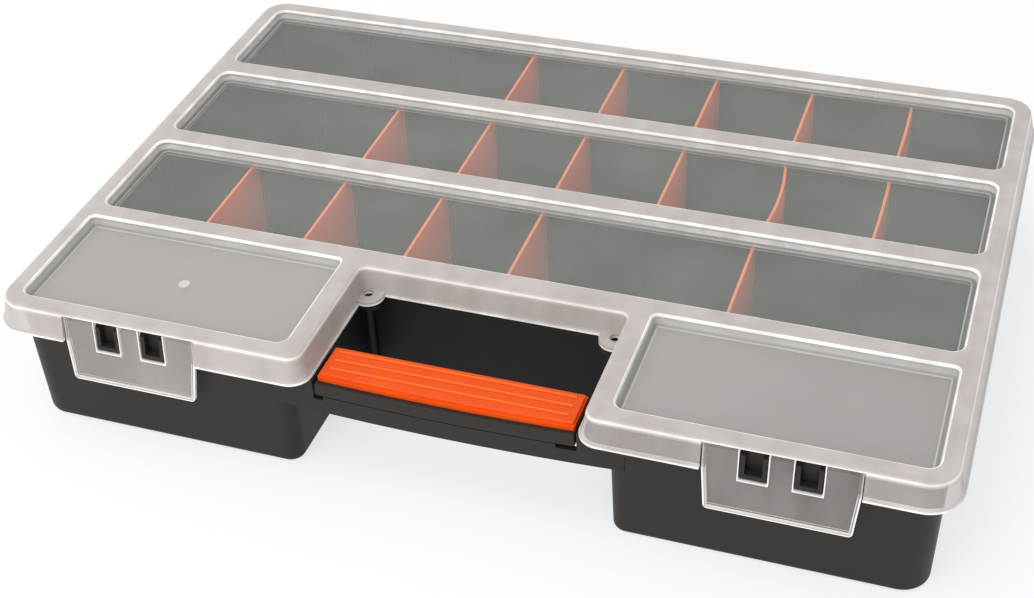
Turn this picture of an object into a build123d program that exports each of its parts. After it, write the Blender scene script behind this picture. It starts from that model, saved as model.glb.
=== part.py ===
"""Compartment organizer case with a handle notch, clear lid, two front latches and loose dividers.

Millimetres, +Z up, +X along the long side, -Y towards the handle and the latches.
The origin is under the middle of the closed case, on the surface that it stands on.
"""
from build123d import *
from math import atan2, cos, degrees, radians, tan
import os

os.makedirs("parts", exist_ok=True)

# Closed case, over everything
case_length = 380.0
case_depth = 266.0
case_height = 60.0

# Lid shell
lid_skin = 1.8
lip_height = 11.6
lip_flare = 2.6
lip_bead = 0.4
lip_bead_height = 0.9
lid_corner_radius = 14.0
lobe_corner_radius = 8.5
notch_corner_radius = 0.6
lid_edge_radius = 1.5
seat_gap = 0.3

# Sunk windows over the rows, and sunk panels over the two front bins
window_skin = 1.5
window_sink = 4.5
window_lean = 2.3
window_bar = 9.3
window_end_rim = 10.0
window_corner_radius = 5.0
window_edge_radius = 0.6
panel_inner_rim = 11.4
panel_side_rim = 9.7
panel_front_rim = 10.7
panel_bar = 8.0
panel_back_radius = 0.4

# Tray shell and its compartments
tray_wall = 2.0
tray_floor = 2.0
tray_inset = 7.0
tray_draft = 1.0
tray_corner_radius = 11.0
tray_foot_radius = 2.5
row_count = 3
rows_span = 184.9
row_corner_radius = 5.0
bin_corner_radius = 5.0
pocket_foot_radius = 3.0

# Where the tray's ends and the frame of the notch are parted from the rest
end_cut = 146.0
frame_margin = 0.5

# Notch for the handle, and the collar round it
notch_width = 106.0
collar_ledge = 7.8
collar_setback = 0.5
collar_height = 14.8
collar_skin = 1.8
skirt_foot = 12.0
skirt_back_gap = 5.6
heel_setback = 11.2
heel_radius = 6.0

# Handle: its front bulges, and a beam runs between the legs of the collar
handle_depth = 19.6
handle_bow = 2.3
beam_height = 8.0
beam_wall = 2.6
beam_rib = 2.0
beam_bays = 4
beam_slot_height = 1.8
beam_slot_length = 8.0

# Handle bar and its grip pad
bar_end_gap = 0.8
bar_height = 5.7
bar_skin = 1.8
bar_edge_radius = 0.9
bar_seam = 0.4
clip_length = 8.0
clip_drop = 5.0
clip_gap = 0.2
grip_margin = 0.6
grip_setback = 2.4
grip_seat_gap = 0.1
grip_sink = 1.0
grip_rise = 3.5
grip_edge_radius = 0.8
grip_step = 1.1
grip_end_step = 0.55
ridge_count = 3
ridge_pitch = 5.05
ridge_width = 0.9
ridge_height = 0.5
ridge_end_gap = 3.4
ridge_back_gap = 3.0

# Lock ears in the two inner corners of the notch
ear_radius = 6.5
ear_thickness = 2.0
ear_hole_radius = 2.2
ear_inset_x = 1.5
ear_inset_y = 1.7

# Lid hinges at the back
hinge_spacing = 220.0
hinge_drop = 2.0
hinge_stand_off = 2.0
barrel_radius = 3.25
barrel_gap = 0.5
lug_length = 8.0
knuckle_length = 20.0
knuckle_gap = 0.3
hinge_pin_radius = 1.25
pin_running_gap = 0.1

# Front latches
latch_inset = 62.0
latch_width = 56.4
latch_foot_width = 53.2
latch_height = 26.6
latch_skin = 1.5
latch_proud = 0.5
latch_side_gap = 0.5
latch_corner_radius = 1.6
latch_border = 1.2
latch_border_rise = 0.5
latch_axis_drop = 2.4
latch_axis_setback = 4.4
latch_barrel_radius = 1.35
latch_barrel_gap = 0.25
latch_pin_radius = 0.6
latch_pin_length = 2.4
latch_boss = 3.6
latch_hole_width = 10.5
latch_hole_pitch = 19.6
latch_hole_depth = 12.2
latch_hole_radius = 1.2

# Hooks of the tray that the latches snap over
hook_side_gap = 0.4
hook_end_gap = 0.8
hook_reach_gap = 0.7
hook_rib = 1.7
hook_web = 0.8
hook_root = 1.0

# Dividers and the guide ribs that hold them
slot_count = 7
divider_thickness = 1.2
divider_end_gap = 0.15
divider_top_gap = 0.6
divider_corner_radius = 4.0
guide_width = 1.2
guide_reach = 1.2
guide_side_gap = 0.3
guide_top_drop = 2.0

# Rows count from the back and slots from the left. Some slots stay empty, and some dividers have bowed.
empty_slots = {1: (1, 2), 2: (1,), 3: (5, 7)}
divider_bows = {(1, 7): 0.7, (2, 6): 2.8, (2, 7): 0.6}

# Levels above the floor
lip_foot = case_height - lip_height
window_floor = case_height - window_sink
wall_top = window_floor - window_skin - seat_gap
collar_top = lip_foot - seat_gap
collar_foot = collar_top - collar_height
beam_top = collar_foot + beam_height
bar_top = beam_top + bar_height

# Lean of the lid's lip, of its sunk windows and of the tray's walls
lip_lean = degrees(atan2(lip_flare, lip_height))
window_slope = degrees(atan2(window_lean, window_sink))
draft_run = tan(radians(tray_draft))

# Places along the depth, from the hinges at the back to the latches at the front
hinge_y = case_depth / 2 - barrel_radius
hinge_z = lip_foot - hinge_drop
lid_back = case_depth / 2 - hinge_stand_off
tray_back = hinge_y - barrel_radius - barrel_gap
row_depth = (rows_span - (row_count - 1) * tray_wall) / row_count
row_pitch = row_depth + tray_wall
row_centres = [tray_back - tray_wall - row_depth / 2 - row_pitch * row for row in range(row_count)]
notch_wall = tray_back - rows_span - 2 * tray_wall
notch_back = notch_wall - collar_ledge
lid_front = latch_proud - case_depth / 2

# Half widths and the tray's leaning walls
half_length = case_length / 2
tray_half_top = half_length - tray_inset
tray_half_foot = tray_half_top - wall_top * draft_run
tray_front_top = lid_front + tray_inset
tray_front_foot = tray_front_top + wall_top * draft_run
notch_half = notch_width / 2
collar_half = notch_half - collar_setback
collar_back = notch_back + collar_setback / 2
heel_half_foot = notch_half + heel_setback

# The handle's front is an arc that leaves the tray's front at the outer ends of the bins' corners
bow_half = heel_half_foot + heel_radius
bow_radius = (bow_half ** 2 + handle_bow ** 2) / (2 * handle_bow)
bow_centre = tray_front_top - handle_bow + bow_radius

# Places that repeat on both sides of the case
sides = (-1, 1)
latch_centre = half_length - latch_inset
latch_places = [side * latch_centre for side in sides]
hinge_places = [side * hinge_spacing / 2 for side in sides]
lug_offset = knuckle_length / 2 + knuckle_gap + lug_length / 2
lug_places = [place + side * lug_offset for place in hinge_places for side in sides]
ear_places = [(side * (notch_half - ear_inset_x), notch_back - ear_inset_y) for side in sides]
slot_pitch = (case_length - 2 * window_end_rim) / (slot_count + 1)
slot_places = [(slot - slot_count / 2 + 0.5) * slot_pitch for slot in range(slot_count)]

# Latch plate: flat, and leaning outwards from its axis down to its foot
latch_face = -case_depth / 2
latch_axis_y = lid_front + latch_axis_setback
latch_axis_z = case_height - latch_axis_drop
latch_foot = latch_axis_z - latch_height
latch_top_outer = latch_axis_y - latch_barrel_radius
latch_lean = (latch_top_outer - latch_face) / latch_height
latch_sweep = latch_barrel_radius + latch_barrel_gap
latch_hole_foot = latch_axis_z - latch_hole_depth


def tray_side(height):
    """Half length of the tray at a height above the floor."""
    return tray_half_foot + height * draft_run


def tray_front(height):
    """Front face of the tray at a height; it leans outwards going up."""
    return tray_front_foot - height * draft_run


def heel_side(height):
    """Inner side of a bin, where it faces the notch under the collar."""
    return heel_half_foot - height * draft_run


def latch_outer(height):
    """Outer face of a closed latch at a height."""
    return latch_face + (height - latch_foot) * latch_lean


def handle_front(across):
    """Front of the handle at a distance from the middle."""
    return bow_centre - (bow_radius ** 2 - across ** 2) ** 0.5


def bowed_plan(half, back, setback=0.0):
    """Plan of a piece of the handle, with straight ends and back and a bulging front."""
    end = handle_front(half) + setback
    with BuildLine() as outline:
        ThreePointArc((-half, end), (0, handle_front(0) + setback), (half, end))
        Polyline((half, end), (half, back), (-half, back), (-half, end))
    make_face(outline.edges())


def block(x_range, y_range, z_range, mode=Mode.ADD):
    """Block between two corners, given as ranges along the three axes."""
    ranges = (x_range, y_range, z_range)
    with Locations(tuple((low + high) / 2 for low, high in ranges)):
        Box(*[high - low for low, high in ranges], mode=mode)


def rod(radius, length, mode=Mode.ADD):
    """Cylinder along X, centred on each place."""
    Cylinder(radius, length, rotation=(0, 90, 0), mode=mode)


def upright_edges(part, x_range=(0, case_length), y_range=(-case_depth, case_depth)):
    """Edges that run up the walls, within a range of distance from the middle and of depth."""
    return part.edges().filter_by(
        lambda edge: abs(edge.tangent_at(0.5).Z) > 0.9
        and x_range[0] < abs(edge.center().X) < x_range[1]
        and y_range[0] < edge.center().Y < y_range[1]
    )


# Where the tray's and the pockets' upright edges are found
heel_zone = (0, heel_half_foot + heel_setback)
end_zone = (heel_half_foot + heel_setback, case_length)
front_zone = (-case_depth, notch_wall - 1)
throat_zone = (notch_wall - 1, 0)

# The leaning front face and the upright back face bound the tray.
with BuildPart() as depth_prism:
    with BuildSketch(Plane.YZ):
        with BuildLine():
            Polyline(
                (tray_front(0), 0), (tray_back, 0),
                (tray_back, wall_top), (tray_front(wall_top), wall_top), close=True,
            )
        make_face()
    extrude(amount=half_length, both=True)

# The collar is the ledge round the notch, on which the foot of the lid's lip comes down.
with BuildPart() as collar:
    with BuildSketch(Plane.XY.offset(collar_foot)):
        bowed_plan(bow_half, notch_wall)
        with Locations((0, (collar_back - case_depth) / 2)):
            Rectangle(2 * collar_half, collar_back + case_depth, mode=Mode.SUBTRACT)
    extrude(amount=collar_height)

# The beam is an open frame of two strips and cross ribs, with a slot at each end of its front strip.
bar_back = tray_front_top + handle_depth
beam_inner = handle_front(collar_half) + beam_wall
beam_rise = (collar_foot, beam_top)
beam_half = collar_half + collar_skin
bay_length = 2 * collar_half / beam_bays

with BuildPart() as beam:
    with BuildSketch(Plane.XY.offset(collar_foot)):
        bowed_plan(beam_half, bar_back)
    extrude(amount=beam_height)
    block((-beam_half, beam_half), (beam_inner, bar_back - beam_wall), beam_rise, Mode.SUBTRACT)
    for bay in range(1, beam_bays):
        middle = bay * bay_length - collar_half
        rib_span = (middle - beam_rib / 2, middle + beam_rib / 2)
        block(rib_span, (beam_inner - beam_wall / 2, bar_back - beam_wall / 2), beam_rise)
    slot_run = (-case_depth, beam_inner + 1)
    slot_rise = (beam_top - beam_slot_height, beam_top)
    block((collar_half - beam_slot_length, collar_half), slot_run, slot_rise, Mode.SUBTRACT)
    block((-collar_half, beam_slot_length / 2 - collar_half), slot_run, slot_rise, Mode.SUBTRACT)

# Behind the handle the collar's inner walls run on downwards as a skirt.
hollow_back = collar_back + collar_skin
skirt_front = bar_back + skirt_back_gap
skirt_rise = (skirt_foot, collar_foot)

with BuildPart() as skirt:
    block((-beam_half, beam_half), (skirt_front, hollow_back), skirt_rise)
    block((-collar_half, collar_half), (skirt_front, collar_back), skirt_rise, Mode.SUBTRACT)

# Each hook is a shallow cup with two ribs and a ledge, rooted in the tray's front wall.
hook_foot = latch_hole_foot + hook_end_gap
hook_top = latch_axis_z - latch_sweep
hook_half = latch_hole_width / 2 - hook_side_gap
hook_rear = tray_front_top + hook_root
hook_places = [place + side * latch_hole_pitch / 2 for place in latch_places for side in sides]

with BuildPart() as hook:
    with BuildSketch(Plane.YZ):
        with BuildLine():
            Polyline(
                (hook_rear, hook_foot), (latch_outer(hook_foot) + hook_reach_gap, hook_foot),
                (latch_outer(hook_top) + hook_reach_gap, hook_top), (hook_rear, hook_top), close=True,
            )
        make_face()
    extrude(amount=hook_half, both=True)
    cup_half = hook_half - hook_rib
    block(
        (-cup_half, cup_half), (-case_depth, tray_front_top - hook_web),
        (hook_foot + hook_rib, case_height), Mode.SUBTRACT,
    )

# Each hinge lug is a round barrel on a web, bored for the pin.
with BuildPart() as lug:
    block(
        (-lug_length / 2, lug_length / 2), (tray_back - tray_wall / 2, hinge_y),
        (hinge_z - barrel_radius, hinge_z + barrel_radius),
    )
    with Locations((0, hinge_y, hinge_z)):
        rod(barrel_radius, lug_length)
        rod(hinge_pin_radius, lug_length, Mode.SUBTRACT)

# Pockets to be cut out of the tray: one shape for every row, one for both front bins
pocket_top = wall_top + 1

with BuildPart() as row_pocket:
    with BuildSketch(Plane.XZ):
        low_half = tray_side(tray_floor) - tray_wall
        high_half = tray_side(pocket_top) - tray_wall
        with BuildLine():
            Polyline(
                (-low_half, tray_floor), (low_half, tray_floor),
                (high_half, pocket_top), (-high_half, pocket_top), close=True,
            )
        make_face()
    extrude(amount=row_depth / 2, both=True)
    fillet(upright_edges(row_pocket), radius=row_corner_radius)
    fillet(row_pocket.faces().sort_by(Axis.Z)[0].edges(), radius=pocket_foot_radius)

with BuildPart() as bin_pocket:
    with BuildSketch(Plane.XZ.offset(-notch_wall)):
        with BuildLine():
            Polyline(
                (heel_side(tray_floor) + tray_wall, tray_floor), (low_half, tray_floor),
                (high_half, pocket_top), (heel_side(pocket_top) + tray_wall, pocket_top), close=True,
            )
        make_face()
    extrude(amount=case_depth / 2)
    with BuildSketch(Plane.YZ):
        with BuildLine():
            Polyline(
                (tray_front(0) + tray_wall, 0), (notch_wall, 0), (notch_wall, pocket_top),
                (tray_front(pocket_top) + tray_wall, pocket_top), close=True,
            )
        make_face()
    extrude(amount=half_length, mode=Mode.INTERSECT)
    fillet(upright_edges(bin_pocket, y_range=throat_zone), radius=bin_corner_radius)
    fillet(upright_edges(bin_pocket, heel_zone, front_zone), radius=heel_radius - tray_wall)
    fillet(upright_edges(bin_pocket, end_zone, front_zone), radius=tray_corner_radius - tray_wall)
    fillet(bin_pocket.faces().sort_by(Axis.Z)[0].edges(), radius=pocket_foot_radius)

# The tray is one moulding: shell, collar, beam, ears, hooks, hinge lugs, compartments and guides.
with BuildPart() as base_tray:
    with BuildSketch(Plane.XZ):
        with BuildLine():
            Polyline(
                (-tray_side(0), 0), (tray_side(0), 0),
                (tray_side(wall_top), wall_top), (-tray_side(wall_top), wall_top), close=True,
            )
        make_face()
    extrude(amount=case_depth / 2, both=True)
    add(depth_prism.part, mode=Mode.INTERSECT)
    with BuildSketch(Plane.XZ.offset(-notch_wall)):
        with BuildLine():
            Polyline(
                (-heel_side(0), 0), (heel_side(0), 0),
                (heel_side(wall_top), wall_top), (-heel_side(wall_top), wall_top), close=True,
            )
        make_face()
    extrude(amount=case_depth, mode=Mode.SUBTRACT)
    fillet(upright_edges(base_tray, end_zone), radius=tray_corner_radius)
    fillet(upright_edges(base_tray, heel_zone, front_zone), radius=heel_radius)
    fillet(upright_edges(base_tray, heel_zone, throat_zone), radius=bin_corner_radius)
    fillet(base_tray.faces().sort_by(Axis.Z)[0].edges(), radius=tray_foot_radius)

    # The collar is hollow from below, back to the bins' solid front corners.
    add(collar.part)
    hollow_front = tray_front_top + heel_radius + tray_wall
    with BuildSketch(Plane.XY.offset(collar_foot)):
        with Locations((0, (hollow_front + notch_wall) / 2)):
            Rectangle(2 * heel_side(collar_top), notch_wall - hollow_front)
        with Locations((0, (hollow_back - case_depth) / 2)):
            Rectangle(2 * beam_half, hollow_back + case_depth, mode=Mode.SUBTRACT)
    extrude(amount=collar_height - collar_skin, mode=Mode.SUBTRACT)
    add(beam.part)
    add(skirt.part)
    with Locations(*[(x, y, collar_top) for x, y in ear_places]):
        Cylinder(ear_radius, ear_thickness, align=(Align.CENTER, Align.CENTER, Align.MAX))
        Hole(ear_hole_radius)
    with Locations(*[(place, 0, 0) for place in hook_places]):
        add(hook.part)
    with Locations(*[(place, 0, 0) for place in lug_places]):
        add(lug.part)

    for centre in row_centres:
        with Locations((0, centre, 0)):
            add(row_pocket.part, mode=Mode.SUBTRACT)
    add(bin_pocket.part, mode=Mode.SUBTRACT)
    mirror(bin_pocket.part, about=Plane.YZ, mode=Mode.SUBTRACT)

    # A pair of guide ribs on each wall for every slot of every row
    guide_offset = divider_thickness / 2 + guide_side_gap + guide_width / 2
    guide_stand = row_depth / 2 - guide_reach / 2
    guides = [
        (place + side * guide_offset, centre + wall * guide_stand, tray_floor)
        for centre in row_centres for place in slot_places for side in sides for wall in sides
    ]
    with Locations(*guides):
        Box(guide_width, guide_reach, wall_top - guide_top_drop - tray_floor,
            align=(Align.CENTER, Align.CENTER, Align.MIN))

# The tray falls into its rows, their two ends, its two front bins and the frame of the notch.
frame_half = heel_side(wall_top) - bin_corner_radius - frame_margin
rows_run = (notch_wall, case_depth)
bins_run = (-case_depth, notch_wall)


def tray_part(name, x_range, y_range):
    """Part of the tray within a range along its length and depth."""
    with BuildPart() as portion:
        add(base_tray.part)
        block(x_range, y_range, (-case_height, 2 * case_height), Mode.INTERSECT)
    portion.part.label = name
    return portion.part


def lid_outline(inset):
    """Closed plan line of the lid at the lip's foot, drawn inwards by inset."""
    side = half_length - inset
    front = lid_front + inset
    back = lid_back - inset
    inner = notch_half + inset
    throat = notch_back + inset
    outer_radius = lid_corner_radius - inset
    lobe_radius = lobe_corner_radius - inset
    throat_radius = notch_corner_radius + inset
    return FilletPolyline(
        (-side, front), (-inner, front), (-inner, throat), (inner, throat),
        (inner, front), (side, front), (side, back), (-side, back),
        radius=[outer_radius, lobe_radius, throat_radius, throat_radius,
                lobe_radius, outer_radius, outer_radius, outer_radius],
        close=True,
    )


# Recesses of the lid: a window over each row and a panel over each bin
window_size = (case_length - 2 * window_end_rim, row_pitch - window_bar)
panel_inner = notch_half + panel_inner_rim
panel_outer = half_length - panel_side_rim
panel_back = row_centres[-1] - window_size[1] / 2 - panel_bar
panel_front = lid_front + panel_front_rim
floor_radius = window_corner_radius - window_lean


def recess_plan(level, inset):
    """Plan of all recesses at a level, drawn inwards from their rims; a panel's back corners are tight."""
    front_radius = floor_radius + window_lean - inset
    back_radius = panel_back_radius + window_lean - inset
    low, high = panel_front + inset, panel_back - inset
    with BuildSketch(Plane.XY.offset(level)) as plan:
        with Locations(*[(0, centre) for centre in row_centres]):
            RectangleRounded(window_size[0] - 2 * inset, window_size[1] - 2 * inset, front_radius)
        for side in sides:
            inner, outer = side * (panel_inner + inset), side * (panel_outer - inset)
            with BuildLine():
                FilletPolyline(
                    (inner, low), (outer, low), (outer, high), (inner, high),
                    radius=[front_radius, front_radius, back_radius, back_radius], close=True,
                )
            make_face()
    return plan.sketch


# The lid is a thin shell whose windows and panels hang as pans between raised bars.
with BuildPart() as lid:
    with BuildSketch(Plane.XY.offset(lip_foot)):
        with BuildLine():
            lid_outline(lip_bead)
        make_face()
    extrude(amount=lip_height, taper=lip_lean)
    fillet(lid.faces().sort_by(Axis.Z)[-1].edges(), radius=lid_edge_radius)
    with BuildSketch(Plane.XY.offset(lip_foot)):
        with BuildLine():
            lid_outline(0)
        make_face()
    extrude(amount=lip_bead_height)
    with BuildSketch(Plane.XY.offset(lip_foot)):
        with BuildLine():
            lid_outline(lid_skin)
        make_face()
    extrude(amount=lip_height - lid_skin, taper=lip_lean, mode=Mode.SUBTRACT)

    pan_margin = window_skin * (1 / cos(radians(window_slope)) - tan(radians(window_slope)))
    extrude(
        recess_plan(window_floor - window_skin, window_lean - pan_margin),
        amount=window_sink + window_skin - lid_skin / 2, taper=-window_slope,
    )
    extrude(
        recess_plan(window_floor, window_lean),
        amount=window_sink, taper=-window_slope, mode=Mode.SUBTRACT,
    )
    rims = lid.faces().sort_by(Axis.Z)[-1].inner_wires()
    fillet([edge for rim in rims for edge in rim.edges()], radius=window_edge_radius)

    # Lock ears over the tray's own
    with Locations(*[(x, y, lip_foot) for x, y in ear_places]):
        Cylinder(ear_radius, ear_thickness, align=(Align.CENTER, Align.CENTER, Align.MIN))
    with Locations(*[(x, y, lip_foot) for x, y in ear_places]):
        Cylinder(ear_hole_radius, 2 * ear_thickness, mode=Mode.SUBTRACT)

    # Hinge knuckles under the back lip, with the lip cut clear of the tray's lugs
    with Locations(*[(place, hinge_y, hinge_z) for place in lug_places]):
        rod(barrel_radius + barrel_gap, lug_length + 2 * knuckle_gap, Mode.SUBTRACT)
    with Locations(*[(place, hinge_y, hinge_z) for place in hinge_places]):
        rod(barrel_radius, knuckle_length)
        rod(hinge_pin_radius + pin_running_gap, knuckle_length, Mode.SUBTRACT)

    # A boss at each end of each latch slot takes the latch's stub pin
    slot_half = latch_width / 2 + latch_side_gap
    boss_size = (latch_boss, latch_sweep + latch_barrel_radius,
                 latch_sweep + latch_axis_drop - lid_skin / 2)
    boss_front = latch_axis_y - latch_barrel_radius / 2
    boss_foot = latch_axis_z - latch_sweep
    bosses = [place + side * (slot_half + latch_boss / 2) for place in latch_places for side in sides]
    with Locations(*[(boss, boss_front, boss_foot) for boss in bosses]):
        Box(*boss_size, align=(Align.CENTER, Align.MIN, Align.MIN))
    slot_back = latch_axis_y + latch_sweep
    slot_top = latch_axis_z + latch_sweep
    with Locations(*[(place, slot_back, slot_top) for place in latch_places]):
        Box(2 * slot_half, case_depth, case_height, align=(Align.CENTER, Align.MAX, Align.MAX),
            mode=Mode.SUBTRACT)
    with Locations(*[(place, latch_axis_y, latch_axis_z) for place in latch_places]):
        rod(latch_pin_radius + pin_running_gap, 2 * (slot_half + latch_pin_length), Mode.SUBTRACT)
lid.part.label = "lid"


def make_latch(name, place):
    """Latch plate on a barrel with stub pins; two hook holes, open above, run up through the barrel."""
    across = latch_skin / cos(atan2(latch_lean, 1))
    with BuildPart() as latch:
        with BuildSketch(Plane.YZ.offset(place)):
            with BuildLine():
                Polyline(
                    (latch_top_outer, latch_axis_z), (latch_face, latch_foot),
                    (latch_face + across, latch_foot), (latch_top_outer + across, latch_axis_z), close=True,
                )
            make_face()
        extrude(amount=latch_width / 2, both=True)
        with BuildSketch(Plane.XZ):
            with BuildLine():
                FilletPolyline(
                    (place - latch_width / 2, case_height), (place + latch_width / 2, case_height),
                    (place + latch_width / 2, lip_foot), (place + latch_foot_width / 2, latch_foot),
                    (place - latch_foot_width / 2, latch_foot), (place - latch_width / 2, lip_foot),
                    radius=[0, 0, 0, latch_corner_radius, latch_corner_radius, 0], close=True,
                )
            make_face()
        extrude(amount=case_depth, both=True, mode=Mode.INTERSECT)

        # The field inside the border is sunk at the foot and comes level with the plate at the axis.
        field_half = min(latch_width, latch_foot_width) / 2 - latch_border
        field_foot = latch_foot + latch_border
        with BuildSketch(Plane.YZ.offset(place)):
            with BuildLine():
                Polyline(
                    (-case_depth, field_foot), (latch_outer(field_foot) + latch_border_rise, field_foot),
                    (latch_top_outer, latch_axis_z), (-case_depth, latch_axis_z), close=True,
                )
            make_face()
        extrude(amount=field_half, both=True, mode=Mode.SUBTRACT)
        with Locations((place, latch_axis_y, latch_axis_z)):
            rod(latch_barrel_radius, latch_width)
            rod(latch_pin_radius, latch_width + 2 * latch_pin_length)
        with BuildSketch(Plane.XZ):
            with Locations(*[(place + side * latch_hole_pitch / 2, latch_hole_foot) for side in sides]):
                RectangleRounded(latch_hole_width, case_height, latch_hole_radius,
                                 align=(Align.CENTER, Align.MIN))
        extrude(amount=case_depth, mode=Mode.SUBTRACT)
    latch.part.label = name
    return latch.part


# The handle bar is a hollow cap that stands on the beam and clips down behind its front strip.
bar_half = collar_half - bar_end_gap
grip_half = bar_half - grip_margin
grip_back = bar_back - grip_margin
grip_foot = bar_top - grip_sink
grip_top = bar_top + grip_rise

with BuildPart() as handle_bar:
    with BuildSketch(Plane.XY.offset(beam_top)):
        bowed_plan(bar_half, bar_back)
    extrude(amount=bar_height)
    fillet(upright_edges(handle_bar), radius=bar_edge_radius)
    fillet(handle_bar.faces().sort_by(Axis.Z)[-1].edges(), radius=bar_edge_radius / 2)
    chamfer(handle_bar.faces().sort_by(Axis.Z)[0].edges(), length=bar_seam)
    ceiling = grip_foot - bar_skin
    bar_hollow = (handle_front(bar_half) + bar_skin, bar_back - bar_skin)
    block((bar_skin - bar_half, bar_half - bar_skin), bar_hollow, (beam_top, ceiling), Mode.SUBTRACT)
    with BuildSketch(Plane.XY.offset(grip_foot)):
        bowed_plan(grip_half + grip_seat_gap, grip_back + grip_seat_gap, grip_setback - grip_seat_gap)
    extrude(amount=grip_sink, mode=Mode.SUBTRACT)
    clip_front = beam_inner + clip_gap
    for side in sides:
        middle = side * (collar_half - bay_length / 2)
        block(
            (middle - clip_length / 2, middle + clip_length / 2), (clip_front, clip_front + bar_skin),
            (beam_top - clip_drop, ceiling + bar_skin / 2),
        )
handle_bar.part.label = "handle_bar"

# The grip pad sits in the bar's seat; its rim is stepped, and thin ridges run along its top.
pad_top = grip_top - ridge_height
step_level = pad_top - grip_step
ridge_half = grip_half - ridge_end_gap

with BuildPart() as handle_grip:
    with BuildSketch(Plane.XY.offset(grip_foot)):
        bowed_plan(grip_half, grip_back, grip_setback)
    extrude(amount=step_level - grip_foot)
    with BuildSketch(Plane.XY.offset(step_level)):
        bowed_plan(grip_half - grip_end_step, grip_back - grip_end_step, grip_setback + grip_step)
    extrude(amount=grip_step)
    fillet(upright_edges(handle_grip), radius=grip_edge_radius)
    fillet(handle_grip.faces().sort_by(Axis.Z)[-1].edges(), radius=grip_edge_radius / 2)
    for ridge in range(ridge_count):
        middle = grip_back - ridge_back_gap - ridge * ridge_pitch
        block(
            (-ridge_half, ridge_half), (middle - ridge_width / 2, middle + ridge_width / 2),
            (pad_top - ridge_height, grip_top),
        )
    fillet(handle_grip.faces().group_by(Axis.Z)[-1].edges(), radius=ridge_height / 2)
handle_grip.part.label = "handle_grip"


def make_hinge_pin(name, place):
    """Straight wire pin through two lugs and the knuckle between them."""
    with BuildPart() as pin:
        with Locations((place, hinge_y, hinge_z)):
            rod(hinge_pin_radius, knuckle_length + 2 * (knuckle_gap + lug_length))
    pin.part.label = name
    return pin.part


def divider_side(offset, bow, turn):
    """One long side of a divider in plan: straight in the guides, bowed between them."""
    tip = row_depth / 2 - divider_end_gap
    shoulder = tip - 2 * guide_reach
    Line((offset, -turn * tip), (offset, -turn * shoulder))
    if bow:
        ThreePointArc((offset, -turn * shoulder), (offset + bow, 0), (offset, turn * shoulder))
    else:
        Line((offset, -turn * shoulder), (offset, turn * shoulder))
    Line((offset, turn * shoulder), (offset, turn * tip))


def make_divider(name, place, centre, bow):
    """Thin plate that slides down between two pairs of guide ribs and stands on the floor."""
    half = divider_thickness / 2
    tip = row_depth / 2 - divider_end_gap
    top = window_floor - window_skin - divider_top_gap
    with BuildPart() as divider:
        with BuildSketch(Plane((place, centre, tray_floor))):
            with BuildLine():
                divider_side(half, bow, 1)
                Line((half, tip), (-half, tip))
                divider_side(-half, bow, -1)
                Line((-half, -tip), (half, -tip))
            make_face()
        extrude(amount=top - tray_floor)
        foot_corners = divider.edges().filter_by(Axis.X).group_by(Axis.Z)[0]
        fillet(foot_corners, radius=divider_corner_radius)
    divider.part.label = name
    return divider.part


pieces = [
    tray_part("base_tray", (-end_cut, end_cut), rows_run),
    tray_part("tray_end_left", (-case_length, -end_cut), rows_run),
    tray_part("tray_end_right", (end_cut, case_length), rows_run),
    tray_part("bin_left", (-case_length, -frame_half), bins_run),
    tray_part("bin_right", (frame_half, case_length), bins_run),
    tray_part("notch_frame", (-frame_half, frame_half), bins_run),
    lid.part, handle_bar.part, handle_grip.part,
]
for word, side in zip(("left", "right"), sides):
    pieces.append(make_latch(f"latch_{word}", side * latch_centre))
    pieces.append(make_hinge_pin(f"hinge_pin_{word}", side * hinge_spacing / 2))
for row, centre in enumerate(row_centres, start=1):
    for slot, place in enumerate(slot_places, start=1):
        if slot not in empty_slots.get(row, ()):
            bow = divider_bows.get((row, slot), 0)
            pieces.append(make_divider(f"divider_row_{row}_slot_{slot}", place, centre, bow))

for piece in pieces:
    export_step(piece, f"parts/{piece.label}.step")
print(f"{len(pieces)} pieces written")
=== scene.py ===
"""Dresses the organizer case with its finishes, moulding marks, camera, floor and lights.

Metres, +Z up, +X along the long side, -Y towards the handle and the latches.
"""

import bpy
from math import cos, radians, sin
from mathutils import Matrix, Vector


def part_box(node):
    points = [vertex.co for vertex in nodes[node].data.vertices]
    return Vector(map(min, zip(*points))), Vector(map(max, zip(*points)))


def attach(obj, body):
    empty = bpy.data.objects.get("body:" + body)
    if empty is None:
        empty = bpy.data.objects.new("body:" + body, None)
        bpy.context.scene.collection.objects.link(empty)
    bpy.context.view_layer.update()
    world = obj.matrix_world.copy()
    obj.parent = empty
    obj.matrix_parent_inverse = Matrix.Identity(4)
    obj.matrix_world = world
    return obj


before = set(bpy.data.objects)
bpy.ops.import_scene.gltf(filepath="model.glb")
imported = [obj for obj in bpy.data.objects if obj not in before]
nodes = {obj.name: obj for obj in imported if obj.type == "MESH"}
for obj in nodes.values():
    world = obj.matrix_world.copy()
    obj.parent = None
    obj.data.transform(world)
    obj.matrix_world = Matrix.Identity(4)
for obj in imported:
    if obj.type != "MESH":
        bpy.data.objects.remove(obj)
bpy.ops.object.select_all(action="DESELECT")
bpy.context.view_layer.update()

MM = 0.001

# Camera, fitted to the photograph's long edges
CAMERA_PLACE = Vector((0.1961, -0.5607, 0.4654))
CAMERA_YAW = radians(20.66)
CAMERA_PITCH = radians(37.79)
CAMERA_ROLL = radians(-2.95)
LENS_MM = 59.41
SENSOR_MM = 36.0

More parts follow.
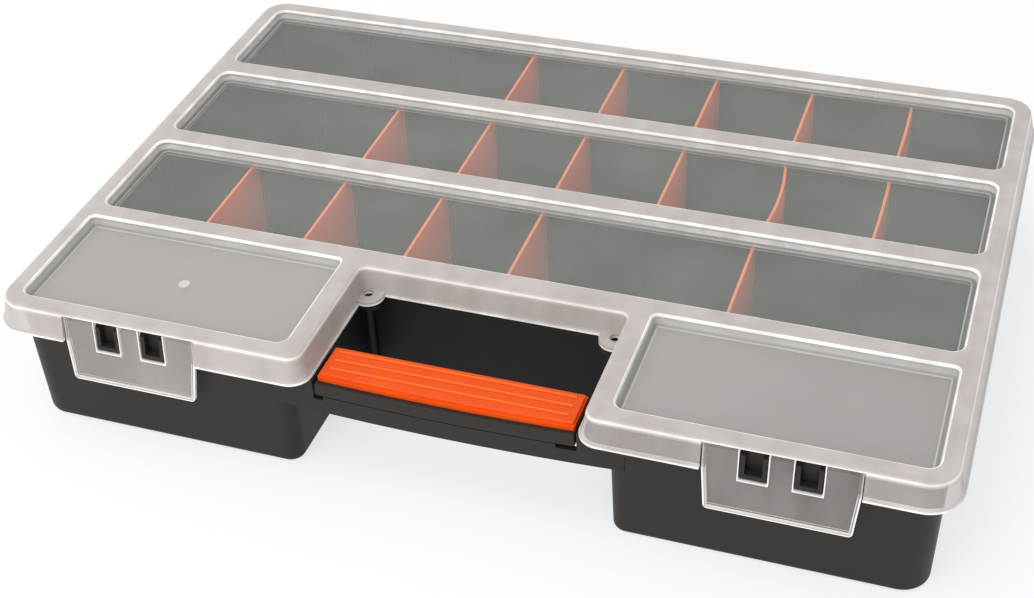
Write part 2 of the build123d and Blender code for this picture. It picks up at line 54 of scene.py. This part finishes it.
# Lid: rows of windows, panels over the front bins, and the levels of its surfaces
ROW_MIDDLE = 31.55 * MM
ROW_PITCH = 62.3 * MM
WINDOW_HALF = (180 * MM, 26.5 * MM)
PANEL_CENTRE = (122.35 * MM, -93.53 * MM)
PANEL_HALF = (57.95 * MM, 28.28 * MM)
RECESS_RADIUS = 5 * MM
PANEL_BACK_RADIUS = 2.7 * MM
RECESS_LEAN = 2.3 * MM
ROWS_FRONT = -62 * MM
ROWS_BACK = ROW_MIDDLE + ROW_PITCH + WINDOW_HALF[1]
LIP_FOOT = 48.4 * MM
LIP_TOP = 57.5 * MM
FRONT_LIP = -118 * MM
RIDGE_LEVEL = 59.3 * MM
LID_TOP = 60 * MM

# Alpha of each part of the lid, which counts on both faces of the thin wall
RIM_COVER = 0.86
WINDOW_COVER = 0.14
LEFT_PANEL_COVER = 0.61
# The right panel and the front lip right of the middle get lower alpha, so the black tray darkens
# them: painted shade, darker towards the right.
RIGHT_PANEL_SHADED_COVER = 0.52
WINDOW_WALL_COVER = 0.42
PANEL_WALL_COVER = 0.60
LIP_COVER = 0.68
FRONT_RIGHT_LIP_SHADED_COVER = 0.40
CLOUD_COVER = 0.08

# Strength of the lid's painted highlight lines
RIDGE_HIGHLIGHT_STRENGTH = 0.65
WINDOW_CREASE_HIGHLIGHT_STRENGTH = 0.45
PANEL_CREASE_HIGHLIGHT_STRENGTH = 0.6
WEAKEST_HIGHLIGHT_STRENGTH = 0.78

# Latches: half widths of the plate, and the two hook holes
LATCH_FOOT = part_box("latch_left")[0].z
LATCH_HALF_FOOT = 26.6 * MM
LATCH_HALF = 28.2 * MM
HOLE_OFFSET = 9.8 * MM
HOLE_HALF = 5.25 * MM
HOLE_FOOT = 45.4 * MM

# Latches: least and most alpha of each plate, lower on the right plate as painted shade, and the
# alpha of its painted highlight lines
LATCH_COVER_AND_SHADE = {"left": (0.31, 0.43), "right": (0.13, 0.25)}
LATCH_HIGHLIGHT_COVER = 0.97

# Strength of the latches' painted highlight lines, the first two below and above the lip's foot
SIDE_HIGHLIGHT_STRENGTH = (0.95, 0.35)
BORDER_HIGHLIGHT_STRENGTH = (0.6, 0.1)
HOLE_HIGHLIGHT_STRENGTH = 0.9

# Notch behind the handle, where the tray is painted blacker as painted shade
POCKET_HALF = 53 * MM
POCKET_FRONT = -103 * MM
POCKET_BACK = -67 * MM

# Round marks on the lid: place, radius, rise and alpha
GATE_PLACE = (-PANEL_CENTRE[0], PANEL_CENTRE[1], 55.5 * MM)
GATE_RADIUS = 2.4 * MM
GATE_RISE = 0.3 * MM
GATE_COVER = 0.8
EJECTOR_PLACE = (61.0 * MM, -124.5 * MM, LID_TOP - 0.15 * MM)
EJECTOR_RADIUS = 2.3 * MM
EJECTOR_RISE = 0.13 * MM
EJECTOR_COVER = 0.9

# Their rim as a share of the radius, and their dimple and rounded edge as shares of the rise
DOT_RIM = 0.35
DOT_DIMPLE = 0.6
DOT_EDGE = 0.5

# Floor, surroundings, and the lamps' place, aim, size and watts
FLOOR_SIZE = 12
FLOOR_DROP = 0.2 * MM
FLOOR_GLOW = 0.7
WORLD_STRENGTH = 0.82
KEY_LAMP = ((-0.45, -0.6, 1.4), (0, 0, 0.03), 1.4, 9)
FILL_LAMP = ((-0.25, -1.3, 0.5), (-0.1, 0, 0.03), 0.9, 5)

# Colours, linear
MILKY = (0.52, 0.475, 0.45, 1)
MILKY_BRIGHT = (0.58, 0.535, 0.51, 1)
FROSTED = (0.55, 0.515, 0.495, 1)
SMOKE = (0.76, 0.775, 0.73, 1)
WALL_PAINTED_SHADE_GREY = (0.46, 0.455, 0.43, 1)
GLINT = (1.0, 0.975, 0.96, 1)
CHARCOAL = (0.0180, 0.0147, 0.0124, 1)
CHARCOAL_WORN = (0.0275, 0.0228, 0.0194, 1)
POCKET_PAINTED_SHADE = (0.004, 0.003, 0.0025, 1)
GRIP_ORANGE = (0.82, 0.088, 0.0015, 1)
GRIP_DEEP = (0.72, 0.068, 0.001, 1)
GRIP_RIDGE_HIGHLIGHT = (1.0, 0.19, 0.015, 1)
ORANGE = (1.0, 0.13, 0.012, 1)
ORANGE_DEEP = (0.95, 0.105, 0.008, 1)
ORANGE_TOP_HIGHLIGHT = (1.0, 0.22, 0.045, 1)
WIRE = (0.55, 0.55, 0.57, 1)
WIRE_DARK = (0.35, 0.35, 0.37, 1)
GATE_GREY = (0.72, 0.69, 0.67, 1)
EJECTOR_GREY = (0.36, 0.375, 0.37, 1)
FLOOR_WHITE = (0.93, 0.93, 0.93, 1)


class Finish:
    """A material whose nodes are added one by one and joined to one principled shader."""

    def __init__(self, name):
        self.material = bpy.data.materials.new(name)
        self.material.use_nodes = True
        self.tree = self.material.node_tree
        self.shader = self.tree.nodes["Principled BSDF"]
        self.place = self.node("ShaderNodeTexCoord").outputs["Object"]
        parts = self.node("ShaderNodeSeparateXYZ")
        self.join(self.place, parts.inputs[0])
        self.x, self.y, self.z = parts.outputs

    def node(self, kind, **settings):
        """Adds a node with the given settings."""
        made = self.tree.nodes.new(kind)
        for key, value in settings.items():
            setattr(made, key, value)
        return made

    def join(self, source, target):
        """Links a socket, or sets a plain value."""
        if isinstance(source, bpy.types.NodeSocket):
            self.tree.links.new(source, target)
        else:
            target.default_value = source

    def math(self, operation, *values):
        """Result of a math operation on sockets or plain values."""
        made = self.node("ShaderNodeMath", operation=operation)
        for value, target in zip(values, made.inputs):
            self.join(value, target)
        return made.outputs[0]

    def band(self, value, low, high, soft):
        """1 between low and high, falling to 0 over a soft edge."""
        rise = self.ramp(value, low - soft, low)
        fall = self.ramp(value, high, high + soft)
        return self.math("MULTIPLY", rise, self.math("SUBTRACT", 1.0, fall))

    def ramp(self, value, low, high):
        """0 below low, 1 above high, smooth between."""
        made = self.node("ShaderNodeMapRange", interpolation_type="SMOOTHSTEP")
        self.join(value, made.inputs["Value"])
        made.inputs["From Min"].default_value = low
        made.inputs["From Max"].default_value = high
        return made.outputs["Result"]

    def blend(self, share, first, second):
        """Colour that goes from first to second as share goes from 0 to 1."""
        made = self.node("ShaderNodeMix", data_type="RGBA")
        self.join(share, made.inputs["Factor"])
        self.join(first, made.inputs[6])
        self.join(second, made.inputs[7])
        return made.outputs[2]

    def between(self, share, first, second):
        """Number that goes from first to second as share goes from 0 to 1."""
        made = self.node("ShaderNodeMix", data_type="FLOAT")
        self.join(share, made.inputs["Factor"])
        self.join(first, made.inputs[2])
        self.join(second, made.inputs[3])
        return made.outputs[0]

    def noise(self, scale, detail=3.0, stretch=(1, 1, 1)):
        """Cloudy pattern from 0 to 1, with scale in repeats per metre."""
        mapping = self.node("ShaderNodeMapping")
        self.join(self.place, mapping.inputs["Vector"])
        mapping.inputs["Scale"].default_value = stretch
        made = self.node("ShaderNodeTexNoise")
        self.join(mapping.outputs[0], made.inputs["Vector"])
        made.inputs["Scale"].default_value = scale
        made.inputs["Detail"].default_value = detail
        return made.outputs["Fac"]

    def grain(self, height, distance, strength):
        """Fine relief from a height pattern."""
        made = self.node("ShaderNodeBump")
        self.join(height, made.inputs["Height"])
        made.inputs["Distance"].default_value = distance
        made.inputs["Strength"].default_value = strength
        self.join(made.outputs[0], self.shader.inputs["Normal"])

    def frame_distance(self, across, along, half, radius):
        """Distance outside a rounded rectangle, negative inside."""
        out_x = self.math("SUBTRACT", self.math("ABSOLUTE", across), half[0] - radius)
        out_y = self.math("SUBTRACT", self.math("ABSOLUTE", along), half[1] - radius)
        corner_x = self.math("MAXIMUM", out_x, 0.0)
        corner_y = self.math("MAXIMUM", out_y, 0.0)
        squares = self.math("ADD", self.math("MULTIPLY", corner_x, corner_x),
                            self.math("MULTIPLY", corner_y, corner_y))
        inside = self.math("MINIMUM", self.math("MAXIMUM", out_x, out_y), 0.0)
        reach = self.math("ADD", self.math("SQRT", squares), inside)
        return self.math("SUBTRACT", reach, radius)


def clear_finish(name):
    """Translucent plastic: shared settings of the lid and the latches."""
    finish = Finish(name)
    finish.shader.inputs["Roughness"].default_value = 0.32
    finish.shader.inputs["IOR"].default_value = 1.49
    finish.shader.inputs["Coat Weight"].default_value = 0.15
    finish.shader.inputs["Coat Roughness"].default_value = 0.2
    finish.grain(finish.noise(900, 2), 0.06 * MM, 0.35)
    return finish


def lid_finish():
    """Milky rims, clearer windows over the rows, frosted panels, painted highlights along thin
    edges, painted shade on the recess walls, and painted shade towards the right.
    """
    finish = clear_finish("lid_clear_plastic")
    from_middle = finish.math("SUBTRACT", finish.y, ROW_MIDDLE)
    row = finish.math("WRAP", from_middle, -ROW_PITCH / 2, ROW_PITCH / 2)
    window = finish.frame_distance(finish.x, row, WINDOW_HALF, RECESS_RADIUS)
    window = finish.math("MAXIMUM", window, finish.math("SUBTRACT", finish.y, ROWS_BACK))
    panel_x = finish.math("SUBTRACT", finish.math("ABSOLUTE", finish.x), PANEL_CENTRE[0])
    panel_y = finish.math("SUBTRACT", finish.y, PANEL_CENTRE[1])
    panel = finish.between(
        finish.math("GREATER_THAN", panel_y, 0.0),
        finish.frame_distance(panel_x, panel_y, PANEL_HALF, RECESS_RADIUS),
        finish.frame_distance(panel_x, panel_y, PANEL_HALF, PANEL_BACK_RADIUS),
    )
    in_front = finish.math("LESS_THAN", finish.y, ROWS_FRONT)
    distance = finish.between(in_front, window, panel)

    sunk = finish.ramp(distance, -RECESS_LEAN - 0.2 * MM, -RECESS_LEAN)
    recess = finish.math("SUBTRACT", 1.0, sunk)
    wall = finish.band(distance, -RECESS_LEAN, -0.6 * MM, 0.2 * MM)
    away = finish.ramp(distance, 1.5 * MM, 2.5 * MM)
    below_top = finish.math("SUBTRACT", 1.0, finish.ramp(finish.z, LIP_TOP, LIP_TOP + 1 * MM))
    lip = finish.math("MULTIPLY", away, below_top)
    cloud = finish.noise(26, 4)
    streak = finish.ramp(finish.noise(90, 3, (1, 1, 0.3)), 0.35, 0.65)
    milk = finish.blend(streak, MILKY, MILKY_BRIGHT)
    colour = finish.blend(recess, milk, finish.blend(in_front, SMOKE, FROSTED))
    # Painted shade: the sloping recess walls are darkened to a grey.
    colour = finish.blend(wall, colour, WALL_PAINTED_SHADE_GREY)

    # Painted shade: lower alpha towards the right on the panels and the front lip.
    right = finish.ramp(finish.x, 20 * MM, 150 * MM)
    panel_cover = finish.between(right, LEFT_PANEL_COVER, RIGHT_PANEL_SHADED_COVER)
    recess_cover = finish.between(in_front, WINDOW_COVER, panel_cover)
    wall_cover = finish.between(in_front, WINDOW_WALL_COVER, PANEL_WALL_COVER)
    front_lip = finish.math("LESS_THAN", finish.y, FRONT_LIP)
    front_right_shade = finish.math("MULTIPLY", finish.ramp(finish.x, 0.0, 50 * MM), front_lip)
    lip_cover = finish.between(front_right_shade, LIP_COVER, FRONT_RIGHT_LIP_SHADED_COVER)
    cover = finish.between(recess, RIM_COVER, recess_cover)
    cover = finish.between(wall, cover, wall_cover)
    cover = finish.between(lip, cover, lip_cover)
    clouds = finish.math("MULTIPLY", finish.math("SUBTRACT", cloud, 0.5), CLOUD_COVER)
    cover = finish.math("ADD", cover, clouds)

    # Painted highlights: bright thin lines on the window and panel rims, the lip's foot, the top
    # outer ridge and the recess creases, blended towards GLINT and made more opaque.
    rim_highlight = finish.band(distance, -0.45 * MM, 0.35 * MM, 0.12 * MM)
    foot_highlight = finish.band(finish.z, LIP_FOOT, LIP_FOOT + 0.85 * MM, 0.1 * MM)
    ridge_highlight = finish.band(finish.z, RIDGE_LEVEL - 0.5 * MM, RIDGE_LEVEL + 0.2 * MM, 0.2 * MM)
    ridge_highlight = finish.math("MULTIPLY", finish.math("MULTIPLY", ridge_highlight, away), RIDGE_HIGHLIGHT_STRENGTH)
    crease_highlight = finish.band(distance, -RECESS_LEAN - 0.5 * MM, -RECESS_LEAN + 0.05 * MM, 0.15 * MM)
    crease_highlight_strength = finish.between(in_front, WINDOW_CREASE_HIGHLIGHT_STRENGTH, PANEL_CREASE_HIGHLIGHT_STRENGTH)
    crease_highlight = finish.math("MULTIPLY", crease_highlight, crease_highlight_strength)
    lines = finish.math("MAXIMUM", finish.math("MAXIMUM", rim_highlight, crease_highlight),
                        finish.math("MAXIMUM", foot_highlight, ridge_highlight))
    lines = finish.math("MULTIPLY", lines, finish.between(streak, WEAKEST_HIGHLIGHT_STRENGTH, 1.0))
    colour = finish.blend(lines, colour, GLINT)
    cover = finish.math("MAXIMUM", cover, lines)
    finish.join(colour, finish.shader.inputs["Base Color"])
    finish.join(cover, finish.shader.inputs["Alpha"])
    return finish.material


def latch_finish(name, middle, cover_and_shade_range):
    """Milky plate with painted highlights: bright edges, a double line at its foot and a thin line
    round its holes.
    """
    finish = clear_finish(name)
    aside = finish.math("ABSOLUTE", finish.math("SUBTRACT", finish.x, middle))
    rise = finish.node("ShaderNodeMapRange")
    finish.join(finish.z, rise.inputs["Value"])
    for socket, value in (("From Min", LATCH_FOOT), ("From Max", LIP_FOOT),
                          ("To Min", LATCH_HALF_FOOT), ("To Max", LATCH_HALF)):
        rise.inputs[socket].default_value = value
    inward = finish.math("SUBTRACT", rise.outputs["Result"], aside)
    above_lip = finish.ramp(finish.z, LIP_FOOT - 0.5 * MM, LIP_FOOT + 0.5 * MM)
    side_highlight = finish.math("SUBTRACT", 1.0, finish.ramp(inward, 0.35 * MM, 0.8 * MM))
    side_highlight = finish.math("MULTIPLY", side_highlight, finish.between(above_lip, *SIDE_HIGHLIGHT_STRENGTH))
    up = finish.math("SUBTRACT", finish.z, LATCH_FOOT)
    foot_highlight = finish.math("SUBTRACT", 1.0, finish.ramp(up, 0.25 * MM, 0.55 * MM))
    border = finish.math("MINIMUM", up, inward)
    border_highlight = finish.band(border, 1.1 * MM, 1.35 * MM, 0.15 * MM)
    border_highlight = finish.math("MULTIPLY", border_highlight, finish.between(above_lip, *BORDER_HIGHLIGHT_STRENGTH))
    across = finish.math("ABSOLUTE", finish.math("SUBTRACT", aside, HOLE_OFFSET))
    hole = finish.math("MAXIMUM", finish.math("SUBTRACT", across, HOLE_HALF),
                       finish.math("SUBTRACT", HOLE_FOOT, finish.z))
    hole_highlight = finish.band(hole, -0.2 * MM, 0.3 * MM, 0.15 * MM)
    hole_highlight = finish.math("MULTIPLY", hole_highlight, HOLE_HIGHLIGHT_STRENGTH)
    # Painted highlights: the bright lines are blended towards GLINT and made nearly opaque.
    lines = finish.math("MAXIMUM", finish.math("MAXIMUM", side_highlight, foot_highlight),
                        finish.math("MAXIMUM", border_highlight, hole_highlight))
    colour = finish.blend(finish.noise(40, 3), MILKY, FROSTED)
    finish.join(finish.blend(lines, colour, GLINT), finish.shader.inputs["Base Color"])
    # The right plate's lower alpha range stands for painted shade.
    cover = finish.between(finish.ramp(finish.noise(50, 3, (1, 1, 0.4)), 0.3, 0.7), *cover_and_shade_range)
    finish.join(finish.between(lines, cover, LATCH_HIGHLIGHT_COVER), finish.shader.inputs["Alpha"])
    return finish.material


def tray_finish(name):
    """Charcoal plastic with a fine grain and slightly uneven sheen, and painted shade that makes
    it blacker in the notch.
    """
    finish = Finish(name)
    # Painted shade: the notch behind the handle is blended to near black.
    across = finish.math("ABSOLUTE", finish.x)
    pocket_shade = finish.math("MULTIPLY", finish.band(across, -1.0, POCKET_HALF, 1.5 * MM),
                         finish.band(finish.y, POCKET_FRONT, POCKET_BACK, 3 * MM))
    body = finish.blend(finish.noise(30, 5), CHARCOAL, CHARCOAL_WORN)
    finish.join(finish.blend(pocket_shade, body, POCKET_PAINTED_SHADE), finish.shader.inputs["Base Color"])
    finish.join(finish.between(finish.noise(70, 3), 0.44, 0.56), finish.shader.inputs["Roughness"])
    finish.shader.inputs["Specular IOR Level"].default_value = 0.24
    finish.grain(finish.noise(2600, 2), 0.05 * MM, 0.5)
    return finish.material


def grip_finish():
    """Soft vivid orange with a fine matt grain and a painted highlight on the top of its ridges.
    """
    finish = Finish("grip_orange")
    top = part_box("handle_grip")[1].z
    edge = finish.ramp(finish.z, top - 0.45 * MM, top - 0.1 * MM)
    body = finish.blend(finish.noise(60, 3), GRIP_ORANGE, GRIP_DEEP)
    # Painted highlight: the top of the ridges is blended paler.
    body = finish.blend(finish.math("MULTIPLY", edge, 0.7), body, GRIP_RIDGE_HIGHLIGHT)
    finish.join(body, finish.shader.inputs["Base Color"])
    finish.shader.inputs["Roughness"].default_value = 0.42
    finish.shader.inputs["Specular IOR Level"].default_value = 0.25
    finish.grain(finish.noise(3000, 2), 0.04 * MM, 0.4)
    return finish.material


def divider_finish():
    """Thin orange plastic with a painted highlight along its top edge."""
    finish = Finish("divider_orange")
    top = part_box("divider_row_1_slot_3")[1].z
    edge = finish.ramp(finish.z, top - 0.9 * MM, top - 0.3 * MM)
    body = finish.blend(finish.noise(50, 4), ORANGE, ORANGE_DEEP)
    # Painted highlight: the top edge is blended paler.
    finish.join(finish.blend(edge, body, ORANGE_TOP_HIGHLIGHT), finish.shader.inputs["Base Color"])
    finish.shader.inputs["Roughness"].default_value = 0.45
    finish.shader.inputs["Subsurface Weight"].default_value = 0.1
    finish.grain(finish.noise(1800, 2), 0.04 * MM, 0.3)
    return finish.material


def wire_finish():
    """Drawn steel wire with fine lines along its length."""
    finish = Finish("pin_steel")
    lines = finish.noise(4000, 2, (0.02, 1, 1))
    finish.join(finish.blend(lines, WIRE, WIRE_DARK), finish.shader.inputs["Base Color"])
    finish.shader.inputs["Metallic"].default_value = 1.0
    finish.join(finish.between(lines, 0.25, 0.42), finish.shader.inputs["Roughness"])
    finish.grain(lines, 0.03 * MM, 0.3)
    return finish.material


def dress(names, material):
    """Gives CAD nodes a finish."""
    for name in names:
        slots = nodes[name].data.materials
        slots.clear()
        slots.append(material)


dress(["lid"], lid_finish())
for side, cover_and_shade_range in LATCH_COVER_AND_SHADE.items():
    low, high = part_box(f"latch_{side}")
    middle = (low.x + high.x) / 2
    dress([f"latch_{side}"], latch_finish(f"latch_{side}_clear_plastic", middle, cover_and_shade_range))
dress(["base_tray", "tray_end_left", "tray_end_right", "bin_left", "bin_right", "notch_frame"],
      tray_finish("tray_charcoal"))
dress(["handle_bar"], tray_finish("bar_charcoal"))
dress(["handle_grip"], grip_finish())
dress([name for name in nodes if name.startswith("divider")], divider_finish())
dress([name for name in nodes if name.startswith("hinge_pin")], wire_finish())


def dot_finish(name, colour, cover):
    """Plain patch of the lid's plastic where the mould left a mark."""
    finish = clear_finish(name)
    finish.shader.inputs["Base Color"].default_value = colour
    finish.shader.inputs["Alpha"].default_value = cover
    return finish.material


def moulding_dot(name, place, radius, rise, material):
    """Low round mark left by the mould, with a rounded edge and a shallow dimple."""
    bpy.ops.mesh.primitive_cylinder_add(vertices=48, radius=radius, depth=2 * rise, location=place)
    dot = bpy.context.object
    dot.name = name
    bpy.ops.object.mode_set(mode="EDIT")
    bpy.ops.mesh.select_mode(type="FACE")
    bpy.ops.mesh.select_all(action="DESELECT")
    bpy.ops.object.mode_set(mode="OBJECT")
    for face in dot.data.polygons:
        face.select = face.normal.z > 0.9
    bpy.ops.object.mode_set(mode="EDIT")
    bpy.ops.mesh.inset(thickness=radius * DOT_RIM)
    bpy.ops.transform.translate(value=(0, 0, -rise * DOT_DIMPLE))
    bpy.ops.object.mode_set(mode="OBJECT")
    bevel = dot.modifiers.new("edge", "BEVEL")
    bevel.width = rise * DOT_EDGE
    bevel.segments = 2
    bpy.ops.object.modifier_apply(modifier=bevel.name)
    bpy.ops.object.shade_smooth_by_angle(angle=radians(35))
    bpy.ops.object.transform_apply(location=True, rotation=True, scale=True)
    dot.data.materials.append(material)
    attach(dot, "lid")
    bpy.ops.object.select_all(action="DESELECT")


moulding_dot("lid_gate_dot", GATE_PLACE, GATE_RADIUS, GATE_RISE,
             dot_finish("gate_plastic", GATE_GREY, GATE_COVER))
moulding_dot("lid_ejector_dot", EJECTOR_PLACE, EJECTOR_RADIUS, EJECTOR_RISE,
             dot_finish("ejector_plastic", EJECTOR_GREY, EJECTOR_COVER))


def place_camera():
    """Camera at the photograph's place, direction and lens."""
    reach = cos(CAMERA_PITCH)
    back = Vector((sin(CAMERA_YAW) * reach, -cos(CAMERA_YAW) * reach, sin(CAMERA_PITCH)))
    level_right = Vector((cos(CAMERA_YAW), sin(CAMERA_YAW), 0))
    level_up = back.cross(level_right)
    right = cos(CAMERA_ROLL) * level_right + sin(CAMERA_ROLL) * level_up
    up = cos(CAMERA_ROLL) * level_up - sin(CAMERA_ROLL) * level_right
    data = bpy.data.cameras.new("camera")
    data.lens = LENS_MM
    data.sensor_width = SENSOR_MM
    data.clip_end = 20
    camera = bpy.data.objects.new("camera", data)
    turn = Matrix((right, up, back)).transposed().to_4x4()
    camera.matrix_world = Matrix.Translation(CAMERA_PLACE) @ turn
    bpy.context.scene.collection.objects.link(camera)
    bpy.context.scene.camera = camera


def lay_floor():
    """Pale floor, white to the camera apart from the case's shadow."""
    bpy.ops.mesh.primitive_plane_add(size=FLOOR_SIZE, location=(0, 0, -FLOOR_DROP))
    floor = bpy.context.object
    floor.name = "floor"
    finish = Finish("floor_white")
    finish.shader.inputs["Base Color"].default_value = FLOOR_WHITE
    finish.shader.inputs["Roughness"].default_value = 0.8
    finish.shader.inputs["Specular IOR Level"].default_value = 0.1
    rays = finish.node("ShaderNodeLightPath").outputs
    through = finish.math("MAXIMUM", rays["Is Glossy Ray"], rays["Is Transmission Ray"])
    seen = finish.math("MAXIMUM", rays["Is Camera Ray"], through)
    mix = finish.node("ShaderNodeMixShader")
    finish.join(finish.math("MULTIPLY", seen, FLOOR_GLOW), mix.inputs[0])
    finish.join(finish.shader.outputs[0], mix.inputs[1])
    finish.join(finish.node("ShaderNodeEmission").outputs[0], mix.inputs[2])
    finish.join(mix.outputs[0], finish.tree.nodes["Material Output"].inputs["Surface"])
    floor.data.materials.append(finish.material)
    bpy.ops.object.select_all(action="DESELECT")


def add_lamp(name, place, aim, size, watts):
    """Square soft light that shines from place to aim."""
    data = bpy.data.lights.new(name, "AREA")
    data.size = size
    data.energy = watts
    lamp = bpy.data.objects.new(name, data)
    lamp.location = place
    lamp.rotation_euler = (Vector(aim) - Vector(place)).to_track_quat("-Z", "Y").to_euler()
    bpy.context.scene.collection.objects.link(lamp)


def set_world():
    """White surroundings."""
    world = bpy.data.worlds.new("studio")
    world.use_nodes = True
    background = world.node_tree.nodes["Background"]
    background.inputs["Color"].default_value = (1, 1, 1, 1)
    background.inputs["Strength"].default_value = WORLD_STRENGTH
    bpy.context.scene.world = world


place_camera()
lay_floor()
add_lamp("key_light", *KEY_LAMP)
add_lamp("fill_light", *FILL_LAMP)
set_world()
bpy.context.scene.view_settings.view_transform = "Standard"
